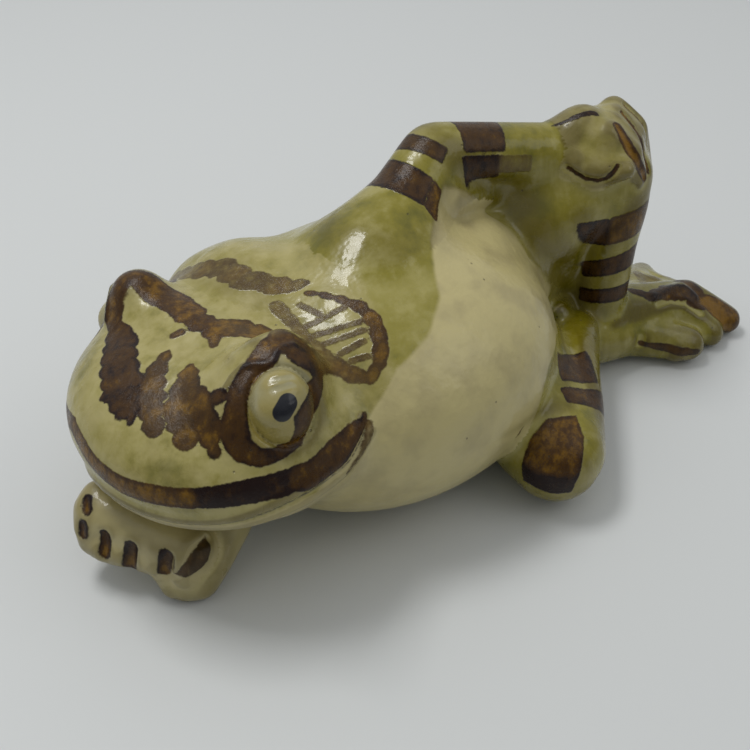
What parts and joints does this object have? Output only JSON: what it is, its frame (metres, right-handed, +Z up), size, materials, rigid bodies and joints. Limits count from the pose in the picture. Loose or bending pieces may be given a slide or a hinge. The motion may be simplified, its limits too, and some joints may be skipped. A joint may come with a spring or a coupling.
{
  "type": "reclining frog ornament",
  "caption": "Hollow glazed ceramic frog lying on its side, chin propped on one fist and the other hand draped over a raised knee.",
  "frame": {"origin": "middle of the figure's bounding box in plan, at the height of the table it lies on", "axes": "+X from the head to the feet, +Y from the belly to the back, +Z up from the table"},
  "size_m": [0.2682, 0.1338, 0.1056],
  "materials": {
    "head_glaze": "gloss",
    "body_glaze": "gloss",
    "limb_glaze": "gloss",
    "eye_glaze": "gloss"
  },
  "bodies": {
    "root": {"head_shell": "head_glaze", "torso_shell": "body_glaze", "left_eyeball": "eye_glaze", "right_eyeball": "eye_glaze", "left_arm": "limb_glaze", "left_hand": "limb_glaze", "left_thigh": "limb_glaze", "left_shin": "limb_glaze", "left_foot": "limb_glaze", "right_thigh": "limb_glaze", "right_shin": "limb_glaze", "right_foot": "limb_glaze", "right_arm": "limb_glaze", "right_hand": "limb_glaze"}
  },
  "joints": []
}
